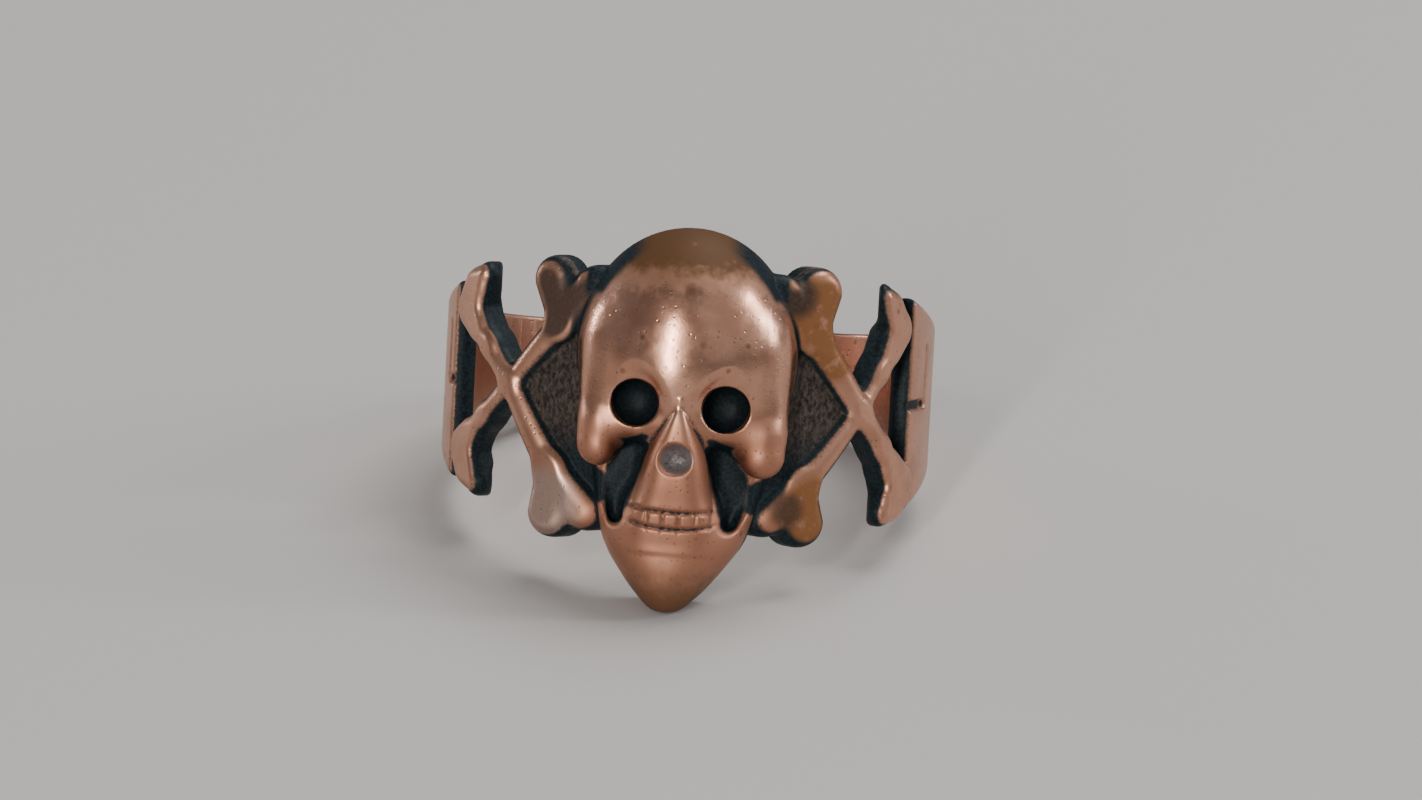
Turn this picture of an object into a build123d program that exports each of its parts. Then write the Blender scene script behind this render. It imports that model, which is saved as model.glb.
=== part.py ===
from build123d import *
import os
from math import asin, atan2, cos, degrees, hypot, radians, sin, sqrt

# Skull ring, one copper casting. All sizes are millimetres and all angles degrees.
# The casting is modelled with the finger's axis along Z and the skull facing -Y,
# and is then leaned back as it lies on a table, on its chin and the back of its band.
# Angles round the ring are counted from the skull's middle line.

# Band
bore_radius = 9.9
band_wall = 1.15
side_half_height = 3.4
back_half_height = 2.0
band_edge_round = 0.35
shoulder_angle = 66.5

# Grooves in each shoulder
shoulder_line_angle = 75.0
shoulder_line_length = 2.6
shoulder_groove_width = 0.36
shoulder_groove_depth = 0.3

# Crossed bones, one pair on each side of the skull
bone_wall = 1.45
crossing_angle = 45.0
shaft_width = 1.34
crotch_round = 0.3
bone_edge_round = 0.3
lobe_radius = 1.0
inner_knob_angle = 12.6
inner_knob_height = 6.1
outer_knob_angle = 14.3
outer_knob_height = 5.4
outer_tip_height = 3.9
outer_tip_clearance = 8.35

# Plate behind the skull
plate_wall = 0.85

# Cranium and temples
skull_half_width = 4.76
cranium_half_height = 5.8
cranium_height = 2.2
cranium_relief = 3.1
temple_radius = 1.15
temple_bottom = -2.7
temple_relief = 1.65

# Eyes and nose
eye_radius = 0.98
eye_spacing = 3.9
eye_height = 0.13
eye_depth = 1.9
socket_radius = 1.5
socket_depth = 0.35
nose_relief = 3.2
dimple_radius = 0.66
dimple_height = -2.1
dimple_depth = 0.3

# Jaw, chin and teeth
jaw_top = -3.9
jaw_half_width = 3.6
jaw_relief = 2.5
chin_radius = 1.3
chin_bottom = -8.9
chin_relief = 2.1
ramus_radius = 0.42
ramus_top = -2.2
hollow_sink = 0.05
tooth_row_half_width = 2.1
tooth_row_relief = 2.85
upper_line_height = -4.0
lower_line_height = -5.05
tooth_line_width = 0.24
tooth_line_depth = 0.25
nick_count = 6
nick_width = 0.16

# Each bone end as rows from the crossing outwards: share of the knob's angle, share of
# the knob's height and share of the lobe's radius.
inner_ends = [
    [(1.10, 0.52, 0.74), (0.94, 0.835, 1.05)],
    [(1.10, 0.52, 0.74), (1.72, 0.82, 0.90)],
    [(1.12, -0.53, 0.75), (1.07, -0.835, 1.06)],
    [(1.12, -0.53, 0.75), (1.77, -0.81, 0.82)],
]
outer_ends = [
    [(0.50, 0.31, 0.64), (0.81, 0.49, 0.74), (1.03, 0.63, 1.00), (0.82, 0.82, 0.80), (0.60, 0.92, 0.50)],
    [(0.59, -0.28, 0.62), (0.98, -0.47, 0.78), (1.21, -0.58, 1.00), (1.03, -0.72, 0.93), (0.74, -0.85, 0.56)],
]

# Rows of a temple: share of the way down from the cranium's middle to its lobe, share of
# the lobe's radius and share of the lobe's depth.
temple_rows = [(0.0, 1.42, 0.95), (0.5, 1.15, 0.98), (1.0, 1.0, 1.0)]

# Rows of the nose and muzzle: share of the upper tooth line's height, share of the tooth
# row's half width and share of the nose's relief.
muzzle_rows = [
    (-0.16, 0.06, 0.90),
    (0.30, 0.40, 0.99),
    (0.62, 0.68, 1.00),
    (1.00, 0.93, 0.92),
    (1.30, 1.00, 0.86),
]

# Outline of a cheek hollow, from the lobe round the jaw's inner corner: share of the jaw's
# half width and share of the lower tooth line's height.
hollow_rows = [
    (0.42, 0.44),
    (0.47, 0.59),
    (0.54, 0.77),
    (0.58, 0.95),
    (0.67, 1.03),
    (0.76, 0.95),
    (0.86, 0.81),
    (0.92, 0.67),
    (0.92, 0.44),
]

# Rows of the jaw: share of the way down to the chin's tip, share of the jaw's half width
# and share of its half depth.
jaw_rows = [
    (0.00, 1.00, 1.00),
    (0.20, 0.98, 1.00),
    (0.41, 0.89, 0.94),
    (0.63, 0.68, 0.78),
    (0.84, 0.45, 0.56),
    (0.97, 0.20, 0.26),
]

# Radii and places worked out from the sizes above
band_outer = bore_radius + band_wall
bone_outer = bore_radius + bone_wall
rough_bore = bore_radius - bone_wall
plate_outer = bore_radius + plate_wall
shoulder_start = band_outer * cos(radians(shoulder_angle))
taper_drop = side_half_height - back_half_height
taper_radius = (band_outer**2 + taper_drop**2) / (2 * taper_drop)
taper_height = back_half_height + taper_radius
skull_back = bore_radius + plate_wall / 2
skull_axis = plate_outer + cranium_relief - skull_half_width
skull_top = cranium_height + cranium_half_height
temple_depth = plate_outer + temple_relief - temple_radius
lobe_height = temple_bottom + temple_radius
eye_floor = skull_axis + skull_half_width - eye_depth
eye_drop = (cranium_height - eye_height) / cranium_half_height
eye_girth = skull_half_width * sqrt(1 - eye_drop**2)
socket_ball = (socket_radius**2 + socket_depth**2) / (2 * socket_depth)
socket_reach = eye_girth + socket_ball - socket_depth
socket_angle = asin(eye_spacing / 2 / eye_girth)
nose_front = plate_outer + nose_relief
hollow_floor = plate_outer - hollow_sink
cheek_hollow = [(x * jaw_half_width, z * lower_line_height) for x, z in hollow_rows]
chin_depth = plate_outer + chin_relief - chin_radius
chin_height = chin_bottom + chin_radius


def facing(angle):
    """The plane through the finger's axis that looks out of the ring at an angle."""
    turn = radians(angle)
    return Plane(origin=(0, 0, 0), x_dir=(cos(turn), sin(turn), 0), z_dir=(sin(turn), -cos(turn), 0))


def bone_point(angle, height):
    """A place on the bones' outer face, in the sketch that faces the crossing."""
    return (bone_outer * sin(radians(angle - crossing_angle)), height)


def tapered_bar(start, start_radius, end, end_radius):
    """Two round ends in a sketch, joined by the two lines that touch both."""
    along = (Vector(*end) - Vector(*start)).normalized()
    across = Vector(-along.Y, along.X)
    slope = (start_radius - end_radius) / (Vector(*end) - Vector(*start)).length
    left = across * sqrt(1 - slope**2) + along * slope
    right = across * -sqrt(1 - slope**2) + along * slope
    Polygon(
        Vector(*start) + left * start_radius,
        Vector(*end) + left * end_radius,
        Vector(*end) + right * end_radius,
        Vector(*start) + right * start_radius,
        align=None,
    )
    with Locations(start):
        Circle(start_radius)
    with Locations(end):
        Circle(end_radius)


def bone_leg(rows, knob_angle, knob_height):
    """One leg of a crossed bone, from the crossing to its knob."""
    last = bone_point(crossing_angle, 0)
    last_radius = shaft_width / 2
    for angle_share, height_share, radius_share in rows:
        place = bone_point(crossing_angle + angle_share * knob_angle, height_share * knob_height)
        tapered_bar(last, last_radius, place, radius_share * lobe_radius)
        last = place
        last_radius = radius_share * lobe_radius


def is_at_radius(edge, radius):
    """Whether an edge lies all along a cylinder round the finger's axis."""
    places = [edge @ share for share in (0, 0.3, 0.7, 1)]
    return all(abs(hypot(place.X, place.Y) - radius) < 0.001 * radius for place in places)


def is_on_band_rim(edge):
    """Whether an edge lies along the band's outer face, above or below it."""
    return is_at_radius(edge, band_outer) and abs(edge.center().Z) > back_half_height / 2


# Band, swept in above and below to a narrow back and open in front of the shoulders. The
# bore is cut through band, bones and plate together, once they are joined.
with BuildPart() as band:
    with BuildSketch():
        Circle(band_outer)
    extrude(amount=2 * side_half_height, both=True)
    with BuildSketch(Plane.YZ):
        with Locations((band_outer, taper_height), (band_outer, -taper_height)):
            Circle(taper_radius)
    extrude(amount=band_outer, both=True, mode=Mode.SUBTRACT)
    with BuildSketch(Plane.YZ):
        with Locations((-shoulder_start, 0)):
            Rectangle(band_outer, 4 * side_half_height, align=(Align.MAX, Align.CENTER))
    extrude(amount=band_outer, both=True, mode=Mode.SUBTRACT)
    fillet(band.edges().filter_by(is_on_band_rim), band_edge_round)

# Grooves in the shoulders: a notch from the side opening, and a line up from its end
with BuildPart() as shoulder_grooves:
    notch_angle = (shoulder_angle + shoulder_line_angle) / 2
    notch_length = band_outer * radians(shoulder_line_angle - shoulder_angle)
    with BuildSketch(facing(notch_angle).offset(band_outer - shoulder_groove_depth)):
        Rectangle(notch_length + shoulder_groove_width, shoulder_groove_width)
    with BuildSketch(facing(shoulder_line_angle).offset(band_outer - shoulder_groove_depth)):
        with Locations((0, -shoulder_groove_width / 2)):
            Rectangle(
                shoulder_groove_width / 2,
                shoulder_line_length,
                align=(Align.CENTER, Align.MIN),
            )
    extrude(amount=band_wall)
    mirror(about=Plane.YZ)

# Both pairs of crossed bones, curved round the finger
with BuildPart() as bones:
    with BuildSketch(facing(crossing_angle)):
        for rows in inner_ends:
            bone_leg(rows, -inner_knob_angle, inner_knob_height)
        for rows in outer_ends:
            bone_leg(rows, outer_knob_angle, outer_knob_height)
        offset(amount=crotch_round)
        offset(amount=-crotch_round)
    extrude(amount=2 * bone_outer)
    with BuildSketch():
        Circle(bone_outer)
        Circle(rough_bore, mode=Mode.SUBTRACT)
    extrude(amount=2 * inner_knob_height, both=True, mode=Mode.INTERSECT)
    fillet(bones.edges().filter_by(lambda edge: is_at_radius(edge, bone_outer)), bone_edge_round)
    for upright in (1, -1):
        with BuildSketch(Plane.XY.offset(upright * outer_tip_height)):
            Polygon(
                (0, 0),
                (outer_tip_clearance, -outer_tip_clearance),
                (outer_tip_clearance, 0),
                align=None,
            )
        extrude(amount=upright * outer_knob_height, mode=Mode.SUBTRACT)
    mirror(about=Plane.YZ)

# Plate, from crossing to crossing behind the skull and inside the inner bone ends
with BuildPart() as plate:
    right_edge = [(bone_outer * sin(radians(crossing_angle)), 0)]
    for angle_share, height_share, _ in inner_ends[1]:
        angle = crossing_angle - angle_share * inner_knob_angle
        right_edge.append((bone_outer * sin(radians(angle)), height_share * inner_knob_height))
    upper_edge = right_edge + [(-x, z) for x, z in reversed(right_edge)]
    lower_edge = [(x, -z) for x, z in reversed(upper_edge[1:-1])]
    with BuildSketch(Plane.XZ):
        Polygon(*upper_edge, *lower_edge, align=None)
    extrude(amount=plate_outer)
    with BuildSketch():
        Circle(plate_outer)
    extrude(amount=inner_knob_height, both=True, mode=Mode.INTERSECT)

# Cranium, an egg turned about the skull's upright axis
with BuildPart() as cranium:
    with BuildSketch(Plane.XZ.offset(skull_axis)):
        with Locations((0, cranium_height)):
            Ellipse(skull_half_width, cranium_half_height)
            Rectangle(
                skull_half_width,
                2 * cranium_half_height,
                align=(Align.MAX, Align.CENTER),
                mode=Mode.SUBTRACT,
            )
    revolve(axis=Axis((0, -skull_axis, 0), (0, 0, 1)))

# Temples, each running down from the cranium to a round lobe
with BuildPart() as temples:
    for drop_share, radius_share, depth_share in temple_rows:
        radius = radius_share * temple_radius
        height = cranium_height + drop_share * (lobe_height - cranium_height)
        with BuildSketch(Plane.XY.offset(height)):
            with Locations((skull_half_width - radius, -depth_share * temple_depth)):
                Circle(radius)
    loft()
    with Locations((skull_half_width - temple_radius, -temple_depth, lobe_height)):
        Sphere(temple_radius)
    mirror(about=Plane.YZ)

# Nose and muzzle, widening down from between the eyes to the tooth row
with BuildPart() as muzzle:
    for height_share, width_share, relief_share in muzzle_rows:
        front = plate_outer + relief_share * nose_relief
        with BuildSketch(Plane.XY.offset(height_share * upper_line_height)):
            with Locations((0, -skull_back)):
                Ellipse(width_share * tooth_row_half_width, front - skull_back)
    loft()

# Jaw, narrowing to a round chin
with BuildPart() as jaw:
    jaw_half_depth = plate_outer + jaw_relief - chin_depth
    for drop_share, width_share, depth_share in jaw_rows:
        with BuildSketch(Plane.XY.offset(jaw_top + drop_share * (chin_bottom - jaw_top))):
            with Locations((0, -chin_depth)):
                Ellipse(width_share * jaw_half_width, depth_share * jaw_half_depth)
    loft()
    with Locations((0, -chin_depth, chin_height)):
        Sphere(chin_radius)

# Hollows between the jaw and the muzzle, seen under the temples' lobes
with BuildPart() as cheek_hollows:
    with BuildSketch(Plane.XZ.offset(hollow_floor)):
        Polygon(*cheek_hollow, align=None)
        Polygon(*[(-x, z) for x, z in cheek_hollow], align=None)
    extrude(amount=nose_relief)

# Thin ridge on each side, from the jaw up to the temple's lobe
with BuildPart() as rami:
    with BuildSketch(Plane.XY.offset(jaw_top - ramus_radius)):
        with Locations((jaw_half_width, -plate_outer)):
            Circle(ramus_radius)
    extrude(amount=ramus_top - jaw_top)
    with Locations((jaw_half_width, -plate_outer, ramus_top - ramus_radius)):
        Sphere(ramus_radius)
    mirror(about=Plane.YZ)

# The two eye pits, with rounded floors
with BuildPart() as eye_pits:
    with BuildSketch(Plane.XZ.offset(eye_floor)):
        with Locations((eye_spacing / 2, eye_height), (-eye_spacing / 2, eye_height)):
            Circle(eye_radius)
    extrude(amount=2 * eye_depth)
    fillet(eye_pits.edges().group_by(Axis.Y)[-1], 0.9 * eye_radius)

# Nicks between the teeth
with BuildPart() as tooth_nicks:
    nick_height = upper_line_height - lower_line_height
    with BuildSketch(Plane.XZ.offset(plate_outer + tooth_row_relief - tooth_line_depth)):
        with Locations((0, lower_line_height + nick_height / 2)):
            with GridLocations(2 * tooth_row_half_width / (nick_count + 1), 1, nick_count, 1):
                Rectangle(nick_width, nick_height)
    extrude(amount=nose_relief)

# Shallow sockets round the eyes, which leave the brow standing above them
with BuildPart() as sockets:
    socket_x = socket_reach * sin(socket_angle)
    socket_y = -skull_axis - socket_reach * cos(socket_angle)
    with Locations((socket_x, socket_y, eye_height), (-socket_x, socket_y, eye_height)):
        Sphere(socket_ball)

# Skull, with its back hollowed to lie in the plate
with BuildPart() as skull:
    add(cranium.part)
    add(sockets.part, mode=Mode.SUBTRACT)
    add(jaw.part)
    add(cheek_hollows.part, mode=Mode.SUBTRACT)
    add(temples.part)
    add(muzzle.part)
    add(rami.part)
    with BuildSketch():
        Circle(skull_back)
    extrude(amount=2 * skull_top, both=True, mode=Mode.SUBTRACT)
    add(eye_pits.part, mode=Mode.SUBTRACT)
    dimple_ball = (dimple_radius**2 + dimple_depth**2) / (2 * dimple_depth)
    with Locations((0, -(nose_front + dimple_ball - dimple_depth), dimple_height)):
        Sphere(dimple_ball, mode=Mode.SUBTRACT)
    for line_height in (upper_line_height, lower_line_height):
        with BuildSketch(Plane.XY.offset(line_height)):
            with Locations((0, -plate_outer - jaw_relief)):
                Rectangle(
                    2 * tooth_row_half_width,
                    nose_relief,
                    align=(Align.CENTER, Align.MAX),
                )
            with Locations((0, -skull_back)):
                Ellipse(
                    tooth_row_half_width - tooth_line_depth,
                    plate_outer + tooth_row_relief - tooth_line_depth - skull_back,
                    mode=Mode.SUBTRACT,
                )
        extrude(amount=tooth_line_width / 2, both=True, mode=Mode.SUBTRACT)
    add(tooth_nicks.part, mode=Mode.SUBTRACT)

# The whole casting
with BuildPart() as casting:
    add(band.part)
    add(bones.part)
    add(plate.part)
    with BuildSketch():
        Circle(bore_radius)
    extrude(amount=2 * skull_top, both=True, mode=Mode.SUBTRACT)
    add(shoulder_grooves.part, mode=Mode.SUBTRACT)
    add(skull.part)

# At rest the line that touches the chin and the band's lower back edge is level
edge_depth = band_outer - band_edge_round
edge_height = band_edge_round - back_half_height
rise = degrees(atan2(edge_height - chin_height, chin_depth + edge_depth))
span = hypot(chin_depth + edge_depth, edge_height - chin_height)
lean = rise + degrees(asin((chin_radius - band_edge_round) / span))
with BuildPart() as leaned:
    add(casting.part, rotation=(-lean, 0, 0))
rest_box = leaned.part.bounding_box()

# Set down with the base of its box on the ground plane and the box's middle on the Z axis
with BuildPart(Plane(origin=(0, -rest_box.center().Y, -rest_box.min.Z))) as skull_ring:
    add(leaned.part)
skull_ring.part.label = "skull_ring"

os.makedirs("parts", exist_ok=True)
export_step(skull_ring.part, "parts/skull_ring.step")
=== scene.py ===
import math

import bpy
import numpy as np
from mathutils import Matrix, Vector


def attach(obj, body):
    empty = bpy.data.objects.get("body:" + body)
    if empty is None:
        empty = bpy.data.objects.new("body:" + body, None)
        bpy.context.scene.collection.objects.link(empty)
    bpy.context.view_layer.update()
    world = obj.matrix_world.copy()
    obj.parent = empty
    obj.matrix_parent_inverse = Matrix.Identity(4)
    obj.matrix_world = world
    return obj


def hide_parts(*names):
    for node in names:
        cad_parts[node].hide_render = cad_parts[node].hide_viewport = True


# A skull ring in antique copper. The casting is sculpted as one solid field of distances, in
# millimetres, with the finger's axis along Z and the skull facing -Y. It is then meshed and
# laid down as the ring lies on a table. Angles round the ring count from the skull's middle.

# Sizes shared with the CAD solid
BORE = 9.9
BAND_OUTER = 11.05
BAND_SIDE_HALF_HEIGHT = 3.4
BAND_BACK_HALF_HEIGHT = 2.0
BONE_OUTER = 11.35
PLATE_OUTER = 10.75
SKULL_BACK = 10.325
SKULL_AXIS = 9.09
SKULL_HALF_WIDTH = 4.76
CRANIUM_HALF_HEIGHT = 5.8
CRANIUM_HEIGHT = 2.2
LEAN = math.radians(17.3354)
REST_SHIFT = (0.0, 1.76694, 5.11459)
MM = 0.001

# Fineness of the sculpted field and the most triangles the finished casting keeps
CELL = 0.08
MOST_TRIANGLES = 194000

# Corners of the field, the value far from every part, and the box that is worth reckoning
# round each part: (across, along, up)
GRID_LOW = (-11.8, -14.7, -9.4)
GRID_HIGH = (11.8, 11.6, 8.4)
FAR = 2.0
BAND_BOX = ((-11.7, 11.7), (-5.2, 11.5), (-6.3, 6.3))
FRONT_BOX = ((-11.7, 11.7), (-11.7, -1.0), (-6.6, 6.6))
BONE_REACH = (3.0, 11.7)
BONE_BOX = ((-11.7, -3.0), (-6.6, 6.6))
PLATE_BOX = ((-8.4, 8.4), (-11.1, -6.5), (-5.8, 5.8))
SKULL_BOX = ((-5.8, 5.8), (-14.7, -8.0), (-9.4, 8.4))

# Rounding where parts meet, and at the edges round the finger's bore
MEETING = 0.1
BORE_EDGE = 0.12

# Each leg of the crossed bones: (place along the finger's curve, height, half width), from the
# crossing outwards, in the plane that touches the ring at the crossing. One bone of each pair
# lies over the other.
CROSSING = math.radians(45.0)
BONE_STEP = 0.14
OUTER_TIP_HEIGHT = 3.5
OUTER_TIP_CLEARANCE = 8.35
BONE_FILLET = 0.3
BONE_EDGE = 0.7
LEFT_OVER = [
    [(-0.15, 0.33, 0.64), (-2.65, -3.2, 0.76), (-2.68, -5.12, 1.13)],
    [(-2.65, -3.2, 0.76), (-4.3, -4.95, 0.85)],
    [
        (-0.15, 0.33, 0.64),
        (1.35, 1.8, 0.62),
        (2.45, 2.65, 0.74),
        (3.15, 3.38, 1.04),
        (2.75, 4.3, 0.88),
        (2.1, 4.92, 0.58),
    ],
]
LEFT_UNDER = [
    [(-0.15, 0.33, 0.62), (-2.8, 3.15, 0.74), (-2.25, 5.08, 1.07)],
    [(-2.8, 3.15, 0.74), (-4.2, 4.95, 0.92)],
    [
        (-0.15, 0.33, 0.62),
        (1.7, -1.27, 0.58),
        (3.0, -2.35, 0.78),
        (3.57, -2.92, 1.04),
        (3.15, -3.65, 0.97),
        (2.35, -4.35, 0.66),
    ],
]
RIGHT_OVER = [
    [(0.04, -0.1, 0.68), (-2.75, 3.25, 0.8), (-2.48, 5.1, 1.14)],
    [(-2.75, 3.25, 0.8), (-4.2, 4.95, 0.95)],
    [
        (0.04, -0.1, 0.68),
        (1.58, -1.7, 0.62),
        (2.5, -2.75, 0.8),
        (3.18, -3.4, 0.97),
        (2.7, -4.15, 0.94),
        (2.05, -4.72, 0.62),
    ],
]
RIGHT_UNDER = [
    [(0.04, -0.1, 0.66), (-2.85, -3.3, 0.78), (-2.68, -5.0, 1.12)],
    [(-2.85, -3.3, 0.78), (-4.3, -4.85, 0.82)],
    [
        (0.04, -0.1, 0.66),
        (1.35, 1.6, 0.63),
        (2.1, 2.6, 0.76),
        (2.62, 3.42, 0.98),
        (2.05, 4.35, 0.78),
        (1.5, 4.92, 0.6),
    ],
]

# Where the band's shoulders begin on each side, in degrees from the skull's middle
LEFT_SHOULDER = 71.5
RIGHT_SHOULDER = 65.5

# Grooves in each shoulder, from an angle in degrees: (start, end, height over the band, half
# width), with their places counted along the band and up
GROOVE_ANGLE = 75.0
SHOULDER_GROOVES = [
    ((-1.8, 0.0), (0.0, 0.0), 0.04, 0.26),
    ((0.0, 0.0), (0.05, 2.5), 0.06, 0.2),
]

# Upper half of the plate's outline, (across, height), and the share of a height above its
# slanting edge that is the distance from it
PLATE_OUTLINE = [(BONE_OUTER * math.sin(CROSSING), 0.0), (5.79, 3.05), (4.49, 5.0), (0.0, 5.3)]
PLATE_SLANT = 0.62

# The skull stands a little turned on the ring, about the level of its eyes. Its two temples
# differ too: how far each is narrowed at these heights.
SKULL_TURN = math.radians(1.7)
EYE_LEVEL = 0.13
LEFT_TEMPLE_SHIFT = ((-1.9, -0.8, 0.5, 3.0, 6.0), (0.28, 0.12, 0.0, -0.08, 0.0))
RIGHT_TEMPLE_SHIFT = ((-1.8, -0.8, 0.5, 3.0, 6.0), (0.0, -0.17, -0.2, -0.17, 0.0))
TEMPLE_FROM = 2.6

# The sculpted cranium is a little deeper than it is wide. It ends at one height over the
# cheeks' hollows, and at another where the black in them is measured from it.
CRANIUM_HALF_DEPTH = 4.8
CRANIUM_BOTTOM = -2.2
UNCUT_BOTTOM = -1.9

# Eggs of the skull's right half, as (middle, radii)
BROW_EGG = ((2.27, -14.3, 0.28), (2.28, 1.45, 2.0))
ARCH_EGG = ((1.95, -13.0, -3.1), (1.1, 3.2, 1.7))
DIMPLE_EGG = ((-0.03, -14.32, -2.08), (0.98, 0.85, 0.78))

# The line that bounds the brow towards the nose: a place on it and its direction
BROW_LINE_FROM = (0.12, 0.46)
BROW_LINE_WAY = (0.69, 0.94)
BROW_LINE_LENGTH = 1.166

# Rods of the skull's right half, as (start, end, start's radius, end's radius), and its chin
TEMPLE_ROD = ((2.75, -10.5, 3.4), (3.66, -11.45, -1.84), 1.35, 1.0)
CHEEK_ROD = ((3.4, -11.7, -0.9), (1.9, -12.25, -0.85), 0.65, 0.35)
CHIN_BALL = ((0, -11.55, -7.6), 1.3)

# Outlines of the dark flanks beside the nose, as (start, end, start's and end's half widths)
NOSE_FLANK = ((1.5, -1.6), (2.3, -2.4), 0.6, 1.1)
LOBE_FLANK = ((2.3, -2.4), (2.5, -4.2), 1.1, 0.75)
JAW_FLANK = ((3.75, -3.6), (3.5, -4.2), 0.75, 0.5)

# How far from the finger's axis the flanks reach, the nose's bright front begins, and the
# skin begins in which the teeth are cut
FLANK_FRONT = 13.5
NOSE_FRONT = 12.7
SKIN_FRONT = 12.0

# Backs and squareness of the jaw and the muzzle
JAW_BACK, JAW_POWER = 9.6, 2.3
MUZZLE_BACK, MUZZLE_POWER = SKULL_BACK - 0.2, 3.4

# Eye pits
EYE_OFFSET = 1.98
EYE_RADIUS = 1.02
EYE_DEPTH = 2.4
EYE_FLOOR_ROUND = 0.9

# Lines above and below the teeth, as (height, bend, width), and the nicks between the teeth
TOOTH_LINES = ((-4.4, 0.03, 0.07), (-5.15, 0.06, 0.08))
TOOTH_ROW_HEIGHT = -4.82
TOOTH_ROW_BEND = 0.06
TOOTH_ROW_HALF_HEIGHT = 0.36
TOOTH_ROW_HALF_WIDTH = 1.7
NICK_PITCH = 0.7
NICK_WIDTH = 0.055


# ---- Fields of distances ----


def joined(a, b, radius):
    """The union of two fields with a fillet of that radius where they meet."""
    round_part = np.hypot(np.maximum(radius - a, 0), np.maximum(radius - b, 0))
    return np.maximum(radius, np.minimum(a, b)) - round_part


def common(a, b, radius):
    """What two fields share, with its edges rounded to that radius."""
    round_part = np.hypot(np.maximum(radius + a, 0), np.maximum(radius + b, 0))
    return np.minimum(-radius, np.maximum(a, b)) + round_part


def without(a, b, radius):
    """The first field less the second, with its edges rounded to that radius."""
    return common(a, -b, radius)


def ball(x, y, z, centre, radius):
    cx, cy, cz = centre
    return np.sqrt((x - cx) ** 2 + (y - cy) ** 2 + (z - cz) ** 2) - radius


def egg(x, y, z, centre, radii):
    """An ellipsoid, with a distance that is true near its surface."""
    px, py, pz = x - centre[0], y - centre[1], z - centre[2]
    rx, ry, rz = radii
    reach = np.sqrt((px / rx) ** 2 + (py / ry) ** 2 + (pz / rz) ** 2)
    slope = np.sqrt((px / rx**2) ** 2 + (py / ry**2) ** 2 + (pz / rz**2) ** 2)
    return reach * (reach - 1) / np.maximum(slope, 1e-6)


def rod(x, y, z, start, end, start_radius, end_radius):
    """A round rod between two places whose radius changes along it."""
    ax, ay, az = start
    ux, uy, uz = (e - s for s, e in zip(start, end))
    length_sq = ux * ux + uy * uy + uz * uz
    along = np.clip(((x - ax) * ux + (y - ay) * uy + (z - az) * uz) / length_sq, 0, 1)
    gap = np.sqrt(
        (x - ax - along * ux) ** 2 + (y - ay - along * uy) ** 2 + (z - az - along * uz) ** 2
    )
    return gap - (start_radius + along * (end_radius - start_radius))


def bar(u, v, start, end, start_radius, end_radius):
    """A flat outline with two round ends."""
    (au, av), (bu, bv) = start, end
    du, dv = bu - au, bv - av
    along = np.clip(((u - au) * du + (v - av) * dv) / (du * du + dv * dv), 0, 1)
    gap = np.hypot(u - au - along * du, v - av - along * dv)
    return gap - (start_radius + along * (end_radius - start_radius))


def along_rows(z, rows):
    """Columns of a table of rows, read at each height z from the rows above and below it."""
    heights = np.array([row[0] for row in rows])
    order = np.argsort(heights)
    columns = (np.array([row[k] for row in rows])[order] for k in range(1, len(rows[0])))
    return [np.interp(z, heights[order], column) for column in columns]


def lofted(x, y, z, rows, back, power):
    """A form that stands out from the plane y = -back, as wide and deep as its rows say."""
    top, bottom = max(r[0] for r in rows), min(r[0] for r in rows)
    fine = np.linspace(bottom, top, 200)
    spread = 19
    kernel = np.hanning(2 * spread + 1)
    kernel /= kernel.sum()
    width, front = (
        np.convolve(np.pad(column, spread, mode="edge"), kernel, mode="valid")
        for column in along_rows(fine, rows)
    )
    w = np.maximum(np.interp(z, fine, width), 0.05)
    d = np.maximum(np.interp(z, fine, front) - back, 0.05)
    across, out = np.abs(x) / w, np.abs(y + back) / d
    reach = (across**power + out**power) ** (1 / power)
    side = (reach - 1) * np.minimum(w, d)
    ends = np.maximum(z - top, bottom - z)
    return common(side, ends, 0.15)


def bone_field(x, y, z, legs, outer):
    """Legs of a bone at one side of the skull, where x grows away from the skull."""
    u = x * math.cos(CROSSING) + y * math.sin(CROSSING)
    out = x * math.sin(CROSSING) - y * math.cos(CROSSING)
    outline = None
    for leg in legs:
        for (u0, v0, r0), (u1, v1, r1) in zip(leg, leg[1:]):
            part = bar(u, z, (u0, v0), (u1, v1), r0, r1)
            outline = part if outline is None else joined(outline, part, BONE_FILLET)
    radius = np.hypot(x, y)
    field = common(outline, radius - outer, BONE_EDGE)
    field = common(field, BORE - radius, BORE_EDGE)
    tip = common(x - OUTER_TIP_CLEARANCE, OUTER_TIP_HEIGHT - np.abs(z), 0.5)
    tip = np.maximum(tip, 0.2 - u)
    field = without(field, tip, 0.25)
    return np.maximum(field, 1.0 - out)


def band_field(x, y, z):
    """The band, swept in above and below towards its back, with the shoulders' grooves."""
    radius = np.hypot(x, y)
    drop = BAND_SIDE_HALF_HEIGHT - BAND_BACK_HALF_HEIGHT
    sweep = (BAND_OUTER**2 + drop**2) / (2 * drop)
    rim = sweep - np.hypot(y - BAND_OUTER, np.abs(z) - (BAND_BACK_HALF_HEIGHT + sweep))
    field = common(radius - BAND_OUTER, rim, 0.42)
    shoulder = np.where(x < 0, LEFT_SHOULDER, RIGHT_SHOULDER)
    opening = BAND_OUTER * np.cos(np.radians(shoulder))
    inside = common(BORE - radius, -(y + opening), 0.9)
    field = common(field, inside, BORE_EDGE)
    turn = np.degrees(np.arctan2(np.abs(x), -y))
    along = BAND_OUTER * np.radians(turn - GROOVE_ANGLE)
    grooves = (
        np.hypot(bar(along, z, start, end, 0.0, 0.0), radius - BAND_OUTER - rise) - half_width
        for start, end, rise, half_width in SHOULDER_GROOVES
    )
    return without(field, np.minimum(*grooves), 0.06)


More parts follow.
